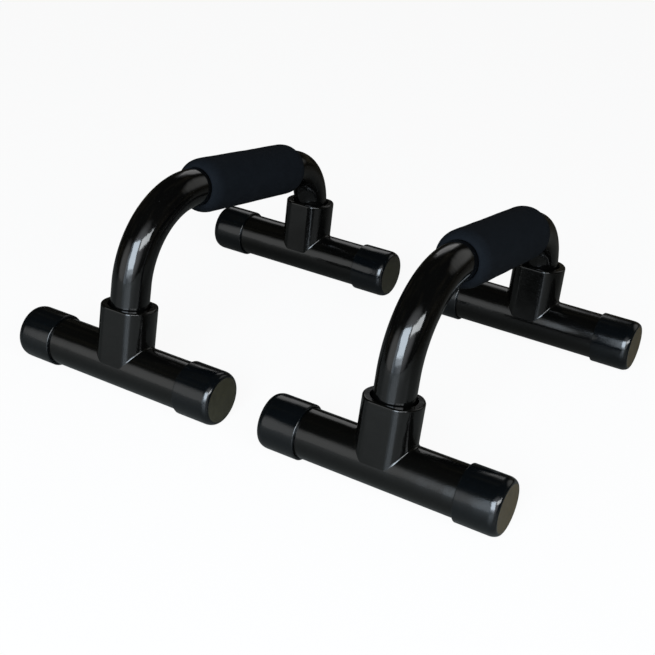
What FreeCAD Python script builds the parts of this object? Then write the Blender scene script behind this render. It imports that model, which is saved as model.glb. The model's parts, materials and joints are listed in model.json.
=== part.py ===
import FreeCAD, Part
import math
import os

os.makedirs("parts", exist_ok=True)

# A matched pair of push-up bars, in millimetres. The floor is at zero and +Z is up. +X runs along the handles
# towards their low ends, and +Y from the right bar to the left one. The origin is midway between the four feet.

# Stance of the pair, and of each bar on its two feet
bar_spacing = 190.0          # between the middle planes of the two bars
foot_spacing = 217.0         # between the run axes of one bar's feet
handle_height = 108.5        # handle axis above the floor, midway between the feet
handle_slope = 10.3          # degrees that the handle falls towards its low end
high_leg_lean = 10.3         # degrees that the high end's leg leans towards the low end
low_leg_lean = 7.2           # degrees that the low end's leg leans the same way

# Handle tube
tube_d = 25.0
tube_wall = 1.5
high_bend_radius = 55.5      # to the tube's axis
leg_end_chamfer = 0.6        # deburred rim of each leg

# Foam grip
foam_thickness = 5.5
grip_end_wall = 0.8          # foam left at each end face
grip_end_taper = 9.5         # length over which the foam rounds down to it
high_bare_stretch = 3.0      # straight tube left bare between the high bend and the foam
low_bare_stretch = 3.5       # and between the foam and the low bend

# Tee foot, one moulding: a run that lies on the floor and a socket that takes the leg
foot_length = 154.0          # over both caps
run_wall = 2.6
socket_flat_wall = 2.9       # at the socket's two flats
flat_inset = 0.2             # by which the flats stand inside the run's sides
socket_side_wall = 5.55      # at its round sides
socket_reach = 40.2          # from the run's axis to the socket's mouth
socket_floor_wall = 3.0      # between the run's bore and the seat of the leg
flat_corner_radius = 8.0     # where the flats turn into the round sides
base_fillet = 1.5            # where the socket grows out of the run
mouth_edge_radius = 1.2
funnel_depth = 6.0           # the bore widens this far below the mouth, where the low leg starts to bend
funnel_widening = 1.5        # on the radius, at the mouth

# End cap, a cup pushed over each end of a run
cap_length = 26.0
cap_wall = 1.65
cap_end_wall = 2.4
cap_edge_radius = 3.2        # round the closed end
cap_rim_radius = 0.7         # round the mouth

# Fits
leg_clearance = 0.05         # between leg and socket bore, on the radius
leg_seat_gap = 0.1           # between the leg's rim and the socket's floor
bend_clearance = 0.3         # between the funnel's foot and the start of the low bend
cap_clearance = 0.05         # between cap and run, on the radius
foam_clearance = 0.05        # between foam and tube, on the radius
cut_overrun = 5.0            # how far cutting tools reach past the faces they open
edge_tolerance = 0.01        # for telling edges apart

# Worked out from the sizes above
tube_r = tube_d / 2
grip_bore_r = tube_r + foam_clearance
grip_r = grip_bore_r + foam_thickness
socket_bore_r = tube_r + leg_clearance
socket_r = socket_bore_r + socket_side_wall
flat_reach = socket_bore_r + socket_flat_wall
run_r = flat_reach + flat_inset
run_bore_r = run_r - run_wall
run_length = foot_length - 2 * cap_end_wall
cap_bore_r = run_r + cap_clearance
cap_r = cap_bore_r + cap_wall
socket_floor = run_bore_r + socket_floor_wall
leg_end = socket_floor + leg_seat_gap
low_bend_start = socket_reach - funnel_depth + bend_clearance

origin = FreeCAD.Vector(0, 0, 0)
x_axis = FreeCAD.Vector(1, 0, 0)
y_axis = FreeCAD.Vector(0, 1, 0)
z_axis = FreeCAD.Vector(0, 0, 1)


def leaning(direction, degrees):
    """A direction turned from upright towards the low end."""
    return FreeCAD.Rotation(y_axis, degrees).multVec(direction)


# The lines of one bar, in its own middle plane
handle_way = leaning(x_axis, handle_slope)
high_leg = leaning(z_axis, high_leg_lean)
low_leg = leaning(z_axis, low_leg_lean)
handle_middle = FreeCAD.Vector(0, 0, handle_height)
high_foot_axis = FreeCAD.Vector(-foot_spacing / 2, 0, cap_r)
low_foot_axis = FreeCAD.Vector(foot_spacing / 2, 0, cap_r)


def leg_climb(foot_axis, leg):
    """How far up a leg's line, from its foot, it meets the handle's line."""
    return (handle_middle - foot_axis).cross(handle_way).y / leg.cross(handle_way).y


def bend_points(corner, way_in, way_out, tangent):
    """Start, middle and end of the arc that rounds a corner, from the length it takes off each side."""
    half_turn = way_in.getAngle(way_out) / 2
    radius = tangent / math.tan(half_turn)
    inward = (way_out - way_in).normalize()
    middle = corner + inward * (radius / math.cos(half_turn) - radius)
    return corner - way_in * tangent, middle, corner + way_out * tangent


high_climb = leg_climb(high_foot_axis, high_leg)
low_climb = leg_climb(low_foot_axis, low_leg)
high_tangent = high_bend_radius * math.tan(high_leg.getAngle(handle_way) / 2)
low_tangent = low_climb - low_bend_start
high_bend = bend_points(high_foot_axis + high_leg * high_climb, high_leg, handle_way, high_tangent)
low_bend = bend_points(low_foot_axis + low_leg * low_climb, handle_way, low_leg * -1, low_tangent)


def round_edges(solid, radius):
    """Circular edges of that radius."""
    found = []
    for edge in solid.Edges:
        if isinstance(edge.Curve, Part.Circle) and abs(edge.Curve.Radius - radius) < edge_tolerance:
            found.append(edge)
    return found


def handle_tube():
    high_end = high_foot_axis + high_leg * leg_end
    low_end = low_foot_axis + low_leg * leg_end
    spine = Part.Wire([
        Part.LineSegment(high_end, high_bend[0]).toShape(),
        Part.Arc(*high_bend).toShape(),
        Part.LineSegment(high_bend[2], low_bend[0]).toShape(),
        Part.Arc(*low_bend).toShape(),
        Part.LineSegment(low_bend[2], low_end).toShape(),
    ])

    def swept(radius):
        section = Part.Wire(Part.Circle(high_end, high_leg, radius).toShape())
        return spine.makePipeShell([section], True, False)

    outside = swept(tube_r)
    ends = []
    for edge in round_edges(outside, tube_r):
        for end in (high_end, low_end):
            if (edge.Curve.Center - end).Length < edge_tolerance:
                ends.append(edge)
    return outside.makeChamfer(leg_end_chamfer, ends).cut(swept(tube_r - tube_wall))


def foam_grip():
    """Sleeve on the handle's straight stretch, turned about X, its ends rounded off by quarter ellipses."""
    start = high_bend[2] + handle_way * high_bare_stretch
    length = (low_bend[0] - start).Length - low_bare_stretch
    face_r = grip_bore_r + grip_end_wall
    high_rim = FreeCAD.Vector(0, face_r, 0)
    low_rim = FreeCAD.Vector(length, face_r, 0)
    high_oval = Part.Ellipse(high_rim + x_axis * grip_end_taper, grip_end_taper, grip_r - face_r)
    low_oval = Part.Ellipse(low_rim - x_axis * grip_end_taper, grip_end_taper, grip_r - face_r)
    high_round = Part.ArcOfEllipse(high_oval, math.pi / 2, math.pi)
    low_round = Part.ArcOfEllipse(low_oval, 0, math.pi / 2)
    high_bore = FreeCAD.Vector(0, grip_bore_r, 0)
    low_bore = FreeCAD.Vector(length, grip_bore_r, 0)
    outline = Part.Wire([
        Part.LineSegment(low_bore, low_rim).toShape(),
        low_round.toShape(),
        Part.LineSegment(low_round.EndPoint, high_round.StartPoint).toShape(),
        high_round.toShape(),
        Part.LineSegment(high_rim, high_bore).toShape(),
        Part.LineSegment(high_bore, low_bore).toShape(),
    ])
    sleeve = Part.Face(outline).revolve(origin, x_axis, 360)
    sleeve.Placement = FreeCAD.Placement(start, FreeCAD.Rotation(y_axis, handle_slope))
    return sleeve


def socket_prism():
    """Outside of the socket: a cylinder with two flats just inside the run's sides."""
    barrel = Part.makeCylinder(socket_r, socket_reach)
    slab = Part.makeBox(2 * flat_reach, 2 * socket_r, socket_reach, FreeCAD.Vector(-flat_reach, -socket_r, 0))
    prism = barrel.common(slab)
    corners = []
    for edge in prism.Edges:
        box = edge.BoundBox
        upright = box.ZLength > socket_reach - edge_tolerance
        if upright and abs(abs(box.XMin) - flat_reach) < edge_tolerance:
            corners.append(edge)
    return prism.makeFillet(flat_corner_radius, corners)


def tee_foot():
    """Foot with its run along Y and its socket up, the run's axis through the origin."""
    run = Part.makeCylinder(run_r, run_length, FreeCAD.Vector(0, -run_length / 2, 0), y_axis)
    body = run.fuse(socket_prism()).removeSplitter()
    base = []
    for edge in body.Edges:
        box = edge.BoundBox
        on_top = box.ZMin > -edge_tolerance and box.ZMax < run_r + edge_tolerance
        at_socket = box.YMin > -socket_r - edge_tolerance and box.YMax < socket_r + edge_tolerance
        if on_top and at_socket:
            base.append(edge)
    body = body.makeFillet(base_fillet, base)
    mouth = [edge for edge in body.Edges if edge.BoundBox.ZMin > socket_reach - edge_tolerance]
    body = body.makeFillet(mouth_edge_radius, mouth)
    socket_bore = Part.makeCylinder(socket_bore_r, socket_reach, FreeCAD.Vector(0, 0, socket_floor))
    funnel_start = FreeCAD.Vector(0, 0, socket_reach - funnel_depth)
    funnel = Part.makeCone(socket_bore_r, socket_bore_r + funnel_widening, funnel_depth, funnel_start)
    bore_start = FreeCAD.Vector(0, -run_length / 2 - cut_overrun, 0)
    run_bore = Part.makeCylinder(run_bore_r, run_length + 2 * cut_overrun, bore_start, y_axis)
    return body.cut(socket_bore).cut(funnel).cut(run_bore).Solids[0]


def end_cap():
    """Cap for the +Y end of a run whose middle is at the origin."""
    mouth = FreeCAD.Vector(0, foot_length / 2 - cap_length, 0)
    cup = Part.makeCylinder(cap_r, cap_length, mouth, y_axis)
    outer_rim = [edge for edge in round_edges(cup, cap_r) if edge.BoundBox.YMin > mouth.y + edge_tolerance]
    cup = cup.makeFillet(cap_edge_radius, outer_rim)
    inner_rim = [edge for edge in round_edges(cup, cap_r) if edge.BoundBox.YMax < mouth.y + edge_tolerance]
    cup = cup.makeFillet(cap_rim_radius, inner_rim)
    bore_start = mouth - y_axis * cut_overrun
    bore = Part.makeCylinder(cap_bore_r, cap_length - cap_end_wall + cut_overrun, bore_start, y_axis)
    return cup.cut(bore)


def save(shape, name, placement):
    piece = shape.copy()
    piece.Placement = placement.multiply(piece.Placement)
    piece.exportStep(f"parts/{name}.step")


tube = handle_tube()
grip = foam_grip()
tee = tee_foot()
cap = end_cap()
half_turn_about_z = FreeCAD.Placement(origin, FreeCAD.Rotation(z_axis, 180))
unturned = FreeCAD.Placement()

for bar, bar_y in (("left", bar_spacing / 2), ("right", -bar_spacing / 2)):
    in_place = FreeCAD.Placement(FreeCAD.Vector(0, bar_y, 0), FreeCAD.Rotation())
    save(tube, f"{bar}_handle_tube", in_place)
    save(grip, f"{bar}_foam_grip", in_place)
    for end, foot_axis, lean in (("high", high_foot_axis, high_leg_lean), ("low", low_foot_axis, low_leg_lean)):
        stand = FreeCAD.Placement(in_place.multVec(foot_axis), FreeCAD.Rotation(y_axis, lean))
        save(tee, f"{bar}_{end}_tee", stand)
        for side, turned in (("left", unturned), ("right", half_turn_about_z)):
            save(cap, f"{bar}_{end}_{side}_cap", stand.multiply(turned))
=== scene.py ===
import json
import math

import bmesh
import bpy
from mathutils import Matrix, Vector, noise


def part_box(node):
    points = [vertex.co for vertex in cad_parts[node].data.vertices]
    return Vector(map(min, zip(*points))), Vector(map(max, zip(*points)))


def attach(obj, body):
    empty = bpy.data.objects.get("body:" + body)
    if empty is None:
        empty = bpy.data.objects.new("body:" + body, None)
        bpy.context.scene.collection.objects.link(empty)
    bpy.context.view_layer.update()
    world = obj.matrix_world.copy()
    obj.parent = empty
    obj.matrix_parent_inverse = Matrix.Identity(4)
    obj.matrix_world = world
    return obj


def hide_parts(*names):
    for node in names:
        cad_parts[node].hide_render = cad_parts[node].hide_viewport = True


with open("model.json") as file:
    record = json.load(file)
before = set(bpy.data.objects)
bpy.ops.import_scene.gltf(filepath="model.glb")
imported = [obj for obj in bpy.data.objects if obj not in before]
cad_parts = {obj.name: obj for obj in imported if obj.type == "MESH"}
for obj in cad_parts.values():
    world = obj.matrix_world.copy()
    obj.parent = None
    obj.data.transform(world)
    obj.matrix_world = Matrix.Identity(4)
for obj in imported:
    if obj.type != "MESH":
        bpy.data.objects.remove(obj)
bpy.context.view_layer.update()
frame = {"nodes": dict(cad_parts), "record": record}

scene = bpy.context.scene
scene.view_settings.view_transform = "Standard"
bars = ("left", "right")
ends = ("high", "low")  # of each bar
capSides = ("left", "right")  # of each foot


class Tree:
    # any node tree: add() makes one node, sets it up and fills or links its sockets
    def __init__(self, tree):
        self.tree = tree
        tree.nodes.clear()

    def add(self, kind, settings=None, out=0, **sockets):
        node = self.tree.nodes.new(kind)
        for key, value in (settings or {}).items():
            setattr(node, key, value)
        for key, value in sockets.items():
            spot = int(key[1:]) if key[1:].isdigit() else key.replace("_", " ")  # i3 is the fourth socket
            for item in value if isinstance(value, list) else [value]:
                if isinstance(item, Wire):
                    self.tree.links.new(item.socket, node.inputs[spot])
                else:
                    node.inputs[spot].default_value = item
        return Wire(self, node.outputs[out]) if node.outputs else node


class Wire:
    # a socket that takes part in sums, such as 1 - mask or noise * 0.2 + 0.3
    def __init__(self, owner, socket):
        self.owner = owner
        self.socket = socket

    def sister(self, name):
        return Wire(self.owner, self.socket.node.outputs[name])

    def maths(self, operation, first, second):
        return self.owner.add("ShaderNodeMath", {"operation": operation}, i0=first, i1=second)

    def __add__(self, other):
        return self.maths("ADD", self, other)

    def __radd__(self, other):
        return self.maths("ADD", other, self)

    def __sub__(self, other):
        return self.maths("SUBTRACT", self, other)

    def __rsub__(self, other):
        return self.maths("SUBTRACT", other, self)

    def __mul__(self, other):
        return self.maths("MULTIPLY", self, other)

    def __rmul__(self, other):
        return self.maths("MULTIPLY", other, self)


class Finish(Tree):
    # a material: place() is where on the piece, surface() ends the tree
    def __init__(self, name):
        self.material = bpy.data.materials.new(name)
        self.material.use_nodes = True
        super().__init__(self.material.node_tree)

    def place(self):
        return self.add("ShaderNodeTexCoord", out="Object")

    def noise(self, at, perMetre, detail):
        return self.add("ShaderNodeTexNoise", Vector=at, Scale=perMetre, Detail=detail)

    def drawnNoise(self, at, perMetre, detail):
        # noise with a scale of its own on each axis
        return self.noise(self.add("ShaderNodeMapping", Vector=at, Scale=perMetre), 1.0, detail)

    def blend(self, factor, first, second):
        return self.add("ShaderNodeMix", {"data_type": "RGBA"}, out=2, i0=factor, i6=first, i7=second)

    def ramp(self, value, low, high):
        return self.add("ShaderNodeMapRange", {"interpolation_type": "SMOOTHSTEP"}, Value=value, From_Min=low,
                        From_Max=high)

    def specks(self, at, perMetre, size, core=0.5, rare=(0.90, 0.92)):
        # sparse dust: the middles of a few cells
        cells = self.add("ShaderNodeTexVoronoi", Vector=at, Scale=perMetre)
        pick = self.add("ShaderNodeSeparateColor", Color=cells.sister("Color"))
        return self.ramp(cells, size, size * core) * self.ramp(pick, *rare)

    def skin(self, look, tone, roughness, height):
        # the shader that all the pieces share; look is the piece's own dictionary
        bump = self.add("ShaderNodeBump", Strength=look["bump"], Distance=look["bumpDepth"], Height=height)
        return self.surface(self.add("ShaderNodeBsdfPrincipled", Base_Color=tone, Roughness=roughness, Normal=bump,
                                     Specular_IOR_Level=look["specular"]))

    def surface(self, shader):
        self.add("ShaderNodeOutputMaterial", i0=shader)
        return self.material


def colour(red, green, blue):
    return (red, green, blue, 1.0)


# in the four looks, a pair such as smudges is a noise's scale per metre and its detail, and specks are
# their scale and size
paint = {
    "black": colour(0.0008, 0.0008, 0.0008), "worn": colour(0.0018, 0.0018, 0.0017), "smudges": (38.0, 3.0),
    "dustAndLitFace": colour(0.05, 0.05, 0.05), "specks": (120.0, 0.03), "roughness": 0.075, "smudgeRoughness": 0.05,
    "specular": 0.5, "grain": (420.0, 1.0), "ripple": (80.0, 2.0), "rippleHeight": 16.0,
    "bump": 0.04, "bumpDepth": 0.0004,
}


def glossBlackPaint():
    f = Finish("glossBlackPaint")
    at = f.place()
    smudge = f.noise(at, *paint["smudges"])
    tone = f.blend(smudge, paint["black"], paint["worn"])
    dustAndLitTone = f.blend(f.specks(at, *paint["specks"]), tone, paint["dustAndLitFace"])
    roughness = smudge * paint["smudgeRoughness"] + paint["roughness"]
    height = f.noise(at, *paint["grain"]) + f.noise(at, *paint["ripple"]) * paint["rippleHeight"]
    return f.skin(paint, dustAndLitTone, roughness, height)


moulding = {
    "black": colour(0.0009, 0.0009, 0.0008), "bloom": colour(0.0019, 0.0019, 0.0017), "flow": ((60, 9, 60), 4.0),
    "dustAndLitFace": colour(0.05, 0.05, 0.045), "specks": (150.0, 0.035), "roughness": 0.095, "flowRoughness": 0.08,
    "specular": 0.5, "grain": (900.0, 2.0), "drawMarks": ((700, 14, 700), 2.0),
    "ripple": (60.0, 1.0), "rippleHeight": 9.0, "bump": 0.10, "bumpDepth": 0.0003,
}


def satinBlackMoulding():
    f = Finish("satinBlackMoulding")
    at = f.place()
    flow = f.drawnNoise(at, *moulding["flow"])  # drawn out along the run, as the fine marks are
    tone = f.blend(flow, moulding["black"], moulding["bloom"])
    dustAndLitTone = f.blend(f.specks(at, *moulding["specks"]), tone, moulding["dustAndLitFace"])
    roughness = flow * moulding["flowRoughness"] + moulding["roughness"]
    fine = f.noise(at, *moulding["grain"]) + f.drawnNoise(at, *moulding["drawMarks"])
    height = fine + f.noise(at, *moulding["ripple"]) * moulding["rippleHeight"]
    return f.skin(moulding, dustAndLitTone, roughness, height)


capRubber = {
    "black": colour(0.0010, 0.0015, 0.0019), "bloom": colour(0.0021, 0.0029, 0.0036), "blooms": (70.0, 4.0),
    # face and faceWorn: the end face's own lighter matte tone, with a warm tint painted in for light bounced up
    # from below
    "face": colour(0.018, 0.0165, 0.0085), "faceWorn": colour(0.038, 0.0345, 0.0175), "wear": (210.0, 5.0),
    # the next two colours are painted light: lighter, warmer copies of the end face tone, for the right bar's caps
    # as lit from that side
    "dustAndLitFace": colour(0.035, 0.0245, 0.0080), "litFaceWorn": colour(0.072, 0.050, 0.0165),
    "sideLightStarts": 0.0, "sideLightFull": -0.15,  # across the pair, along Y: where the painted side light on the right bar's cap faces starts and is full
    "roughness": 0.09, "bloomRoughness": 0.08, "faceRoughness": 0.2, "specular": 0.5, "grain": (1100.0, 2.0),
    "ripple": (75.0, 1.0), "rippleHeight": 8.0, "bump": 0.12, "bumpDepth": 0.0003,
}


def satinBlackCap():
    f = Finish("satinBlackCap")
    at = f.place()
    bloom = f.noise(at, *capRubber["blooms"])
    side = f.blend(bloom, capRubber["black"], capRubber["bloom"])
    wear = f.noise(at, *capRubber["wear"])
    plainFaceTone = f.blend(wear, capRubber["face"], capRubber["faceWorn"])
    dustAndLitTone = f.blend(wear, capRubber["dustAndLitFace"], capRubber["litFaceWorn"])
    across = f.add("ShaderNodeSeparateXYZ", out="Y", Vector=at)
    dustyAndSideLit = f.ramp(across, capRubber["sideLightStarts"], capRubber["sideLightFull"])  # painted light: the right bar's cap faces are lighter and warmer, standing in for light from that side
    endFace = f.add("ShaderNodeAttribute", {"attribute_name": "endFace"}, out="Fac")
    tone = f.blend(endFace, side, f.blend(dustyAndSideLit, plainFaceTone, dustAndLitTone))
    roughness = bloom * capRubber["bloomRoughness"] + capRubber["roughness"] + endFace * capRubber["faceRoughness"]
    height = f.noise(at, *capRubber["grain"]) + f.noise(at, *capRubber["ripple"]) * capRubber["rippleHeight"]
    return f.skin(capRubber, tone, roughness, height)


foamSkin = {
    "navy": colour(0.0035, 0.0048, 0.0066), "dustyAndSideLit": colour(0.0068, 0.0085, 0.0110), "mottle": (160.0, 5.0),
    "roughness": 0.82, "mottleRoughness": 0.1, "specular": 0.06, "cellsPerMetre": 1500.0,
    "bump": 0.35, "bumpDepth": 0.0003,
}


def navyFoam():
    f = Finish("navyFoam")
    at = f.place()
    mottle = f.noise(at, *foamSkin["mottle"])
    tone = f.blend(mottle, foamSkin["navy"], foamSkin["dustyAndSideLit"])
    roughness = mottle * foamSkin["mottleRoughness"] + foamSkin["roughness"]
    cells = f.add("ShaderNodeTexVoronoi", {"feature": "F1"}, Vector=at, Scale=foamSkin["cellsPerMetre"])
    return f.skin(foamSkin, tone, roughness, cells)


finishes = {"gloss_tube": glossBlackPaint(), "moulding": satinBlackMoulding(), "cap": satinBlackCap(),
            "foam": navyFoam()}
print("finishes made:", len(finishes))


def added(name, data):
    made = bpy.data.objects.new(name, data)
    scene.collection.objects.link(made)
    return made


def standIn(piece, body, node):
    # hands a finished piece to the frame in the place of its CAD node
    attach(piece, body)
    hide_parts(node)


def shadeByAngle(mesh, crease):
    mesh.shade_smooth()
    mesh.set_sharp_from_angle(angle=math.radians(crease))


# metres and degrees; heights are over the floor, and legEnd and lowBendStart are up the leg from the run's axis
handle = {
    "radius": 0.0125, "wall": 0.0015, "rimChamfer": 0.0006, "slope": 10.3, "middleHeight": 0.1085,
    "highBend": 0.0555, "legEnd": 0.01615, "lowBendStart": 0.0345,
    "sides": 64, "bendSteps": 48, "weld": 0.00002, "crease": 40.0,
}


def footAxis(bar, end):
    # the middle of a foot's run, from the boxes of its two caps
    corners = [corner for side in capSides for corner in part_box(f"{bar}_{end}_{side}_cap")]
    return sum((Vector(corner) for corner in corners), Vector()) / len(corners)


def jointAxis(name):
    joints = frame["record"]["behaviour"]["joints"]
    return Vector(next(joint["axis"] for joint in joints if joint["name"] == name))


def handleLines(bar):
    # where the two legs' lines meet the handle's line, and the bend at each
    slope = math.radians(handle["slope"])
    way = Vector((math.cos(slope), 0, -math.sin(slope)))
    legs = {"high": jointAxis(f"{bar}_handle_pull"), "low": -jointAxis(f"{bar}_low_foot_pull")}
    lines = {"way": way}
    for end in ends:
        foot = footAxis(bar, end)
        middle = Vector((0, foot.y, handle["middleHeight"]))
        climb = (middle - foot).cross(way).y / legs[end].cross(way).y
        halfTurn = (legs[end].angle(way) if end == "high" else legs[end].angle(-way)) / 2
        reach = handle["highBend"] * math.tan(halfTurn) if end == "high" else climb - handle["lowBendStart"]
        lines[end] = {"corner": foot + legs[end] * climb, "tip": foot + legs[end] * handle["legEnd"],
                      "reach": reach, "bend": reach / math.tan(halfTurn)}
    return lines


def sweptTubeTree():
    # sweeps a tube along a route with rounded bends, and closes its wall at both ends with a chamfered rim
    group = bpy.data.node_groups.new("sweptTube", "GeometryNodeTree")
    inputs = {"Route": "Geometry", "Radius": "Float", "Wall": "Float", "Rim Chamfer": "Float", "Sides": "Int",
              "Bend Steps": "Int", "Finish": "Material"}
    for name, kind in inputs.items():
        group.interface.new_socket(name=name, in_out="INPUT", socket_type="NodeSocket" + kind)
    group.interface.new_socket(name="Tube", in_out="OUTPUT", socket_type="NodeSocketGeometry")
    t = Tree(group)
    given = t.add("NodeGroupInput")
    radius, wall, chamfer, sides = (given.sister(name) for name in ("Radius", "Wall", "Rim Chamfer", "Sides"))

    def circle(size):
        return t.add("GeometryNodeCurvePrimitiveCircle", {"mode": "RADIUS"}, Resolution=sides, Radius=size)

    def ring(bottom, top, depth):
        return t.add("GeometryNodeMeshCone", {"fill_type": "NONE"}, Vertices=sides, Radius_Top=top,
                     Radius_Bottom=bottom, Depth=depth)

    corners = t.add("GeometryNodeMeshToCurve", Mesh=given)
    bend = t.add("GeometryNodeInputNamedAttribute", {"data_type": "FLOAT"}, out="Attribute", Name="bend")
    route = t.add("GeometryNodeFilletCurve", {"mode": "POLY"}, Curve=corners, Count=given.sister("Bend Steps"),
                  Radius=bend)
    length = t.add("GeometryNodeCurveLength", Curve=route)
    barrel = t.add("GeometryNodeTrimCurve", {"mode": "LENGTH"}, Curve=route, i4=chamfer, i5=length - chamfer)
    outside = t.add("GeometryNodeCurveToMesh", Curve=barrel, Profile_Curve=circle(radius))
    bore = t.add("GeometryNodeCurveToMesh", Curve=route, Profile_Curve=circle(radius - wall))
    inside = t.add("GeometryNodeFlipFaces", Mesh=bore)
    down = t.add("ShaderNodeCombineXYZ", Z=0 - chamfer)
    bevel = t.add("GeometryNodeTransform", Geometry=ring(radius, radius - chamfer, chamfer), Translation=down)
    annulus = ring(radius - chamfer, radius - wall, 0.0)
    rim = t.add("GeometryNodeJoinGeometry", Geometry=[bevel, annulus])
    ahead = t.add("GeometryNodeInputTangent")
    atStart = t.add("GeometryNodeCurveEndpointSelection", Start_Size=1, End_Size=0)
    outward = t.add("ShaderNodeVectorMath", {"operation": "SCALE"}, Vector=ahead, Scale=1 - atStart * 2)
    turn = t.add("FunctionNodeAxesToRotation", {"primary_axis": "Z", "secondary_axis": "X"}, Primary_Axis=outward,
                 Secondary_Axis=t.add("GeometryNodeInputNormal"))
    tips = t.add("GeometryNodeCurveEndpointSelection")
    rims = t.add("GeometryNodeInstanceOnPoints", Points=route, Selection=tips, Instance=rim, Rotation=turn)
    joined = t.add("GeometryNodeJoinGeometry", Geometry=[outside, inside, rims])
    whole = t.add("GeometryNodeRealizeInstances", Geometry=joined)
    welded = t.add("GeometryNodeMergeByDistance", Geometry=whole, Distance=handle["weld"])
    dressed = t.add("GeometryNodeSetMaterial", Geometry=welded, Material=given.sister("Finish"))
    t.add("NodeGroupOutput", Tube=dressed)
    return group


def handleTube(bar, tree):
    lines = handleLines(bar)
    high, low = lines["high"], lines["low"]
    route = bpy.data.meshes.new("route")
    route.from_pydata([high["tip"], high["corner"], low["corner"], low["tip"]], [(0, 1), (1, 2), (2, 3)], [])
    bend = route.attributes.new("bend", "FLOAT", "POINT")
    bend.data.foreach_set("value", [0.0, high["bend"], low["bend"], 0.0])
    maker = added("route", route)
    sweep = maker.modifiers.new("sweep", "NODES")
    sweep.node_group = tree
    given = {"Radius": handle["radius"], "Wall": handle["wall"], "Rim Chamfer": handle["rimChamfer"],
             "Sides": handle["sides"], "Bend Steps": handle["bendSteps"], "Finish": finishes["gloss_tube"]}
    for item in tree.interface.items_tree:
        if item.name in given:
            sweep[item.identifier] = given[item.name]
    mesh = bpy.data.meshes.new_from_object(maker.evaluated_get(bpy.context.evaluated_depsgraph_get()))
    bpy.data.objects.remove(maker)
    shadeByAngle(mesh, handle["crease"])
    piece = added(f"{bar}HandleTube", mesh)
    standIn(piece, f"{bar}_handle", f"{bar}_handle_tube")


tubeTree = sweptTubeTree()
for bar in bars:
    handleTube(bar, tubeTree)
print("handle tubes swept:", len(bars))


def quarter(along, out, reach, rise, fromDegrees, toDegrees, steps):
    # part of an ellipse in a lathe outline: along the axis by sine, out from it by cosine
    turns = [math.radians(fromDegrees + (toDegrees - fromDegrees) * step / steps) for step in range(steps + 1)]
    return [(along + reach * math.sin(turn), out + rise * math.cos(turn)) for turn in turns]


def lathe(name, outline, sides, start, axis, material, closed=False, faceRings=0):
    # turns an outline of (along the axis, out from it); its last faceRings rings are flagged as endFace
    across = axis.orthogonal().normalized()
    upward = axis.cross(across)
    solid = bmesh.new()
    flag = solid.verts.layers.float.new("endFace")
    rings = []
    for index, (along, out) in enumerate(outline):
        turns = [2 * math.pi * side / sides for side in range(sides if out else 1)]  # one point on the axis itself
        spokes = [(across * math.cos(turn) + upward * math.sin(turn)) * out for turn in turns]
        ring = [solid.verts.new(start + axis * along + spoke) for spoke in spokes]
        for vertex in ring:
            vertex[flag] = 1.0 if index >= len(outline) - faceRings else 0.0
        rings.append(ring)
    for near, far in zip(rings, rings[1:] + rings[:1] if closed else rings[1:]):
        for side in range(sides):
            after = (side + 1) % sides
            corners = [near[side % len(near)], near[after % len(near)], far[after % len(far)], far[side % len(far)]]
            solid.faces.new(list(dict.fromkeys(corners)))
    bmesh.ops.recalc_face_normals(solid, faces=solid.faces)
    mesh = bpy.data.meshes.new(name)
    solid.to_mesh(mesh)
    solid.free()
    mesh.materials.append(material)
    return added(name, mesh)


endCap = {
    "length": 0.026, "radius": 0.01735, "bore": 0.0157, "endWall": 0.0024, "rim": 0.0007, "lip": 0.0003,
    "shoulderReach": 0.0052, "shoulderDrop": 0.0028, "faceSink": 0.0001, "sinkShare": 0.7,
    "sides": 96, "lipSteps": 4, "rimSteps": 8, "shoulderSteps": 20, "crease": 40.0,
}


def capOutline():
    # from the middle of the cup's floor, round its mouth and shoulder, to the middle of its closed end
    c = endCap
    floor, faceRadius = c["length"] - c["endWall"], c["radius"] - c["shoulderDrop"]
    cup = [(floor, 0.0), (floor, c["bore"] - c["lip"]), (floor - c["lip"], c["bore"]), (c["lip"], c["bore"])]
    mouth = quarter(c["lip"], c["bore"] + c["lip"], c["lip"], c["lip"], 180, 270, c["lipSteps"])
    mouth += quarter(c["rim"], c["radius"] - c["rim"], c["rim"], c["rim"], -90, 0, c["rimSteps"])
    shoulder = quarter(c["length"] - c["shoulderReach"], faceRadius, c["shoulderReach"], c["shoulderDrop"], 0, 90,
                       c["shoulderSteps"])
    sunk = c["length"] - c["faceSink"]
    face = [(c["length"], faceRadius - c["lip"]), (sunk, faceRadius * c["sinkShare"]), (sunk, 0.0)]
    return cup + mouth + shoulder + face, len(face)


def pushOnCap(bar, end, side):
    node = f"{bar}_{end}_{side}_cap"
    low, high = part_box(node)
    start = footAxis(bar, end)
    start.y = low[1] if side == "left" else high[1]
    outward = Vector((0, 1, 0)) if side == "left" else Vector((0, -1, 0))
    outline, faceRings = capOutline()
    piece = lathe(f"{bar}{end.title()}{side.title()}Cap", outline, endCap["sides"], start, outward,
                  finishes["cap"], faceRings=faceRings)
    shadeByAngle(piece.data, endCap["crease"])
    standIn(piece, f"{bar}_{end}_foot", node)


for bar in bars:
    for end in ends:
        for side in capSides:
            pushOnCap(bar, end, side)
print("end caps turned:", len(bars) * len(ends) * len(capSides))


# highBare and lowBare are the straight tube left bare between the grip and each bend
grip = {
    "bore": 0.01255, "radius": 0.01805, "endWall": 0.0008, "taper": 0.0095, "lip": 0.0006, "highBare": 0.003,
    "lowBare": 0.0035, "sides": 96, "rings": 40, "boreRings": 6, "lipSteps": 5, "taperSteps": 20, "crease": 60.0,
    "unevenness": 0.00016, "lumpsPerMetre": 45.0, "fineLumps": 3, "fineShare": 0.5, "fill": 0.9,
}


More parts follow.
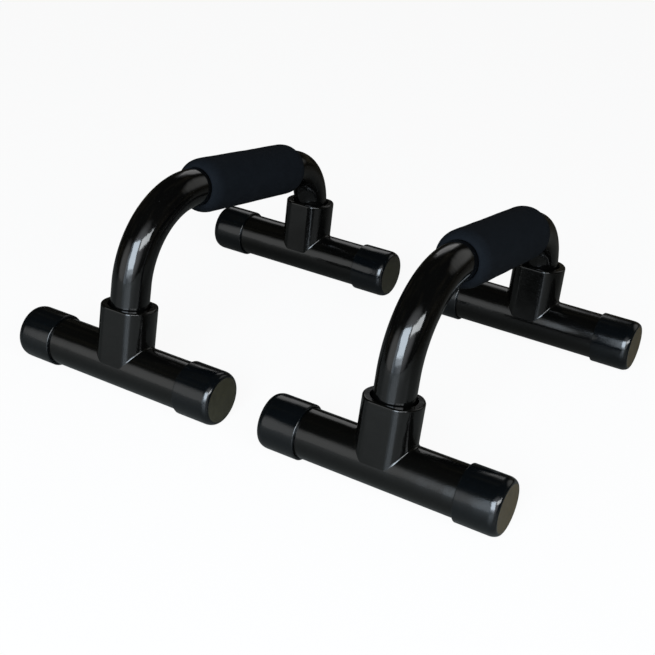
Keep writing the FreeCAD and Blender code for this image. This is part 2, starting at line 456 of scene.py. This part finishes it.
def gripOutline(length):
    g = grip
    faceRadius = g["bore"] + g["endWall"]
    highEnd = quarter(g["lip"], g["bore"] + g["lip"], g["lip"], g["lip"], 180, 270, g["lipSteps"])
    highEnd += quarter(g["taper"], faceRadius, g["taper"], g["radius"] - faceRadius, -90, 0, g["taperSteps"])
    lowEnd = [(length - along, out) for along, out in highEnd[::-1]]
    run = length - 2 * g["taper"]
    barrel = [(g["taper"] + run * ring / g["rings"], g["radius"]) for ring in range(1, g["rings"])]
    bore = [(length * ring / g["boreRings"], g["bore"]) for ring in range(g["boreRings"] - 1, 0, -1)]
    return highEnd + barrel + lowEnd + bore


def foamGrip(bar):
    lines = handleLines(bar)
    way, high, low = lines["way"], lines["high"], lines["low"]
    start = high["corner"] + way * (high["reach"] + grip["highBare"])
    finish = low["corner"] - way * (low["reach"] + grip["lowBare"])
    piece = lathe(f"{bar}FoamGrip", gripOutline((finish - start).length), grip["sides"], start, way,
                  finishes["foam"], closed=True)
    for vertex in piece.data.vertices:
        away = vertex.co - start
        spoke = away - way * away.dot(way)
        loose = max(0.0, (spoke.length - grip["bore"]) / (grip["radius"] - grip["bore"]))  # the bore stays put
        lumps = vertex.co * grip["lumpsPerMetre"]
        swell = noise.noise(lumps) + grip["fineShare"] * noise.noise(lumps * grip["fineLumps"])
        vertex.co += spoke.normalized() * (swell * loose * grip["unevenness"])
    shadeByAngle(piece.data, grip["crease"])
    standIn(piece, f"{bar}_handle", f"{bar}_foam_grip")


for bar in bars:
    foamGrip(bar)
print("foam grips turned:", len(bars))

# the tees keep their CAD meshes
for bar in bars:
    for end in ends:
        frame["nodes"][f"{bar}_{end}_tee"].material_slots[0].material = finishes["moulding"]
print("tees dressed:", len(bars) * len(ends))


# the camera was fitted to the photo; distances are from its aim, or from the origin for the flags
studio = {
    "aim": Vector((-0.015123, 0.0, 0.03251)), "distance": 0.75484, "elevation": 28.581, "heading": 29.969,
    "roll": 2.834, "lens": 62.612, "sensor": 36.0, "lampDistance": 1.6, "flagDistance": 2.4, "flagStep": 6,
    "floorRadius": 5.0, "floorDrop": 0.0003, "discSides": 96, "floorTone": colour(0.9, 0.9, 0.9),
    "floorGlow": 0.93, "white": 1.0, "dimRoom": 0.12,
}


def bearing(azimuth, elevation):
    a, e = math.radians(azimuth), math.radians(elevation)
    return Vector((math.cos(a) * math.cos(e), math.sin(a) * math.cos(e), math.sin(e)))


def photoCamera():
    forward = bearing(studio["heading"], -studio["elevation"])
    right = forward.cross(Vector((0, 0, 1))).normalized()
    up = right.cross(forward)
    roll = math.radians(studio["roll"])
    across = right * math.cos(roll) + up * math.sin(roll)
    upright = up * math.cos(roll) - right * math.sin(roll)
    turn = Matrix((across, upright, -forward)).transposed().to_4x4()
    camera = added("photoCamera", bpy.data.cameras.new("photoCamera"))
    camera.data.lens = studio["lens"]
    camera.data.sensor_width = studio["sensor"]
    camera.matrix_world = Matrix.Translation(studio["aim"] - forward * studio["distance"]) @ turn
    scene.camera = camera


def seenWhite(f):
    # 1 for the camera's own rays and for those that gloss or glass sends on
    rays = f.add("ShaderNodeLightPath", out="Is Camera Ray")
    seen = rays + rays.sister("Is Glossy Ray") + rays.sister("Is Transmission Ray")
    return f.add("ShaderNodeMath", {"operation": "MINIMUM"}, i0=seen, i1=1.0)


def disc(name, radius, height, material):
    bpy.ops.mesh.primitive_circle_add(vertices=studio["discSides"], radius=radius, fill_type="NGON",
                                      location=(0, 0, height))
    made = bpy.context.object
    made.name = name
    made.data.materials.append(material)
    return made


def paleFloor():
    # mostly a white glow, with enough plain floor in it to keep the object's shadow
    f = Finish("paleFloor")
    plain = f.add("ShaderNodeBsdfDiffuse", Color=studio["floorTone"])
    glow = f.add("ShaderNodeEmission", Color=colour(1, 1, 1), Strength=studio["white"])
    share = seenWhite(f) * studio["floorGlow"]
    material = f.surface(f.add("ShaderNodeMixShader", i0=share, i1=plain, i2=glow))
    floor = disc("paleFloor", studio["floorRadius"], -studio["floorDrop"], material)


def studioWorld():
    # white where it is seen, and dim where it lights the object
    world = bpy.data.worlds.new("studioWorld")
    world.use_nodes = True
    scene.world = world
    f = Tree(world.node_tree)
    level = seenWhite(f) * (studio["white"] - studio["dimRoom"]) + studio["dimRoom"]
    f.add("ShaderNodeOutputWorld", i0=f.add("ShaderNodeBackground", Color=colour(1, 1, 1), Strength=level))


# each lamp fills a stretch of bearings, in degrees; brightness is its radiance
daylight, skylight, windowBlue = (0.93, 0.97, 1.0), (0.74, 0.87, 1.0), (0.77, 0.885, 1.0)
lamps = [
    {"name": "windowLight", "azimuths": (-180.5, -151), "elevations": (14, 41), "brightness": 13.6,
     "tint": windowBlue},
    {"name": "windowSill", "azimuths": (-180.5, -150.5), "elevations": (6.5, 14), "brightness": 5.0,
     "tint": windowBlue},
    {"name": "windowFoot", "azimuths": (-180.5, -150), "elevations": (-2, 6.5), "brightness": 1.2,
     "tint": skylight},
    {"name": "windowSide", "azimuths": (-192, -180.5), "elevations": (-1, 38), "brightness": 2.0,
     "tint": skylight},
    {"name": "topStrip", "azimuths": (-138, -102), "elevations": (25, 36), "brightness": 10.5,
     "tint": daylight, "lean": -15},
]


def softbox(name, azimuths, elevations, brightness, tint, lean=0.0):
    distance = studio["lampDistance"]
    lamp = bpy.data.lights.new(name, "AREA")
    lamp.shape = "RECTANGLE"
    lamp.size = 2 * distance * math.tan(math.radians(azimuths[1] - azimuths[0]) / 2)
    lamp.size_y = 2 * distance * math.tan(math.radians(elevations[1] - elevations[0]) / 2)
    lamp.energy = brightness * math.pi * lamp.size * lamp.size_y
    lamp.color = tint
    out = bearing(sum(azimuths) / 2, sum(elevations) / 2)
    turn = out.to_track_quat("Z", "Y").to_matrix().to_4x4() @ Matrix.Rotation(math.radians(lean), 4, "Z")
    added(name, lamp).matrix_world = Matrix.Translation(studio["aim"] + out * distance) @ turn


def onlyReflected(card):
    card.visible_camera = False
    card.visible_diffuse = False
    card.visible_shadow = False


def distanceTowards(f, azimuth, elevation):
    # how far a point lies from the origin along a bearing
    at = f.add("ShaderNodeSeparateXYZ", Vector=f.place())
    way = bearing(azimuth, elevation)
    return at * way.x + at.sister("Y") * way.y + at.sister("Z") * way.z


# each wall lies towards a bearing, is full within one angle from it and has faded out at the other
paleWalls = [
    {"towards": (-208, 14), "fades": 26, "full": 9, "tone": colour(1.14, 1.16, 1.15)},  # beside the window
    {"towards": (26, 30), "fades": 19, "full": 9, "tone": colour(0.42, 0.43, 0.44)},  # round the gap at the back
    {"towards": (-152, 28), "fades": 37, "full": 14, "tone": colour(1.35, 1.40, 1.45)},  # over the window
    {"towards": (-30, 28), "fades": 24, "full": 8, "tone": colour(0.62, 0.62, 0.60)},  # across the room from it
]
room = {
    "dark": colour(0.016, 0.015, 0.012), "brown": colour(0.09, 0.08, 0.055), "shapes": (1.3, 3.0),
    "shapesStart": 0.48, "shapesFull": 0.72,
}
flags = [
    {"name": "sideFlag", "azimuths": (-152, 13), "elevations": (0, 50)},
    {"name": "backFlag", "azimuths": (40, 208), "elevations": (0, 50)},
    {"name": "backLowFlag", "azimuths": (13, 40), "elevations": (0, 20)},
    {"name": "topFlag", "azimuths": (-180, 180), "elevations": (39, 90)},
]


def roomCloth():
    # a dim room with soft-edged pale walls, for the gloss to mirror
    f = Finish("roomCloth")
    shapes = f.ramp(f.noise(f.place(), *room["shapes"]), room["shapesStart"], room["shapesFull"])
    tone = f.blend(shapes, room["dark"], room["brown"])
    for wall in paleWalls:
        edge, full = (studio["flagDistance"] * math.cos(math.radians(wall[key])) for key in ("fades", "full"))
        tone = f.blend(f.ramp(distanceTowards(f, *wall["towards"]), edge, full), tone, wall["tone"])
    material = f.surface(f.add("ShaderNodeEmission", Color=tone))
    material.cycles.emission_sampling = "NONE"  # it is mirrored, and lights nothing else
    return material


def evenMarks(limits, step):
    count = max(1, round((limits[1] - limits[0]) / step))
    return [limits[0] + (limits[1] - limits[0]) * mark / count for mark in range(count + 1)]


def clothFlag(name, azimuths, elevations, cloth):
    # a piece of the room, curved round the object
    columns, rows = evenMarks(azimuths, studio["flagStep"]), evenMarks(elevations, studio["flagStep"])
    spots = [bearing(azimuth, elevation) * studio["flagDistance"] for elevation in rows for azimuth in columns]
    width = len(columns)
    panes = [(r * width + c, r * width + c + 1, (r + 1) * width + c + 1, (r + 1) * width + c)
             for r in range(len(rows) - 1) for c in range(width - 1)]
    mesh = bpy.data.meshes.new(name)
    mesh.from_pydata(spots, [], panes)
    mesh.materials.append(cloth)
    onlyReflected(added(name, mesh))


table = {
    "dim": colour(0.06, 0.052, 0.035), "lit": colour(0.272, 0.276, 0.258), "litTowards": (-190, 0),
    "litStarts": -0.25, "litFull": 0.4, "lightPoolStarts": 0.5, "lightPoolFull": 0.2, "lightPoolShare": 0.45,
    "wear": (6.0, 3.0), "roughness": 0.30, "wearRoughness": 0.1, "specular": 0.25,
}


def tableCard():
    # a dim polished table for the gloss to mirror, with painted light on it: a pool of light round the object, and
    # lighter on the window's side
    f = Finish("tableCard")
    lit = f.ramp(distanceTowards(f, *table["litTowards"]), table["litStarts"], table["litFull"])
    away = f.add("ShaderNodeVectorMath", {"operation": "LENGTH"}, out="Value", Vector=f.place())
    # painted pool of light round the object
    near = f.ramp(away, table["lightPoolStarts"], table["lightPoolFull"])
    share = 1 - (1 - lit) * (1 - near * table["lightPoolShare"])
    tone = f.blend(share, table["dim"], table["lit"])
    roughness = f.noise(f.place(), *table["wear"]) * table["wearRoughness"] + table["roughness"]
    material = f.surface(f.add("ShaderNodeBsdfPrincipled", Base_Color=tone, Roughness=roughness,
                               Specular_IOR_Level=table["specular"]))
    onlyReflected(disc("tableCard", studio["flagDistance"], -studio["floorDrop"] / 2, material))


photoCamera()
paleFloor()
studioWorld()
for lamp in lamps:
    softbox(**lamp)
cloth = roomCloth()
for flag in flags:
    clothFlag(cloth=cloth, **flag)
tableCard()
print("studio set:", len(lamps), "lamps and", len(flags), "flags")
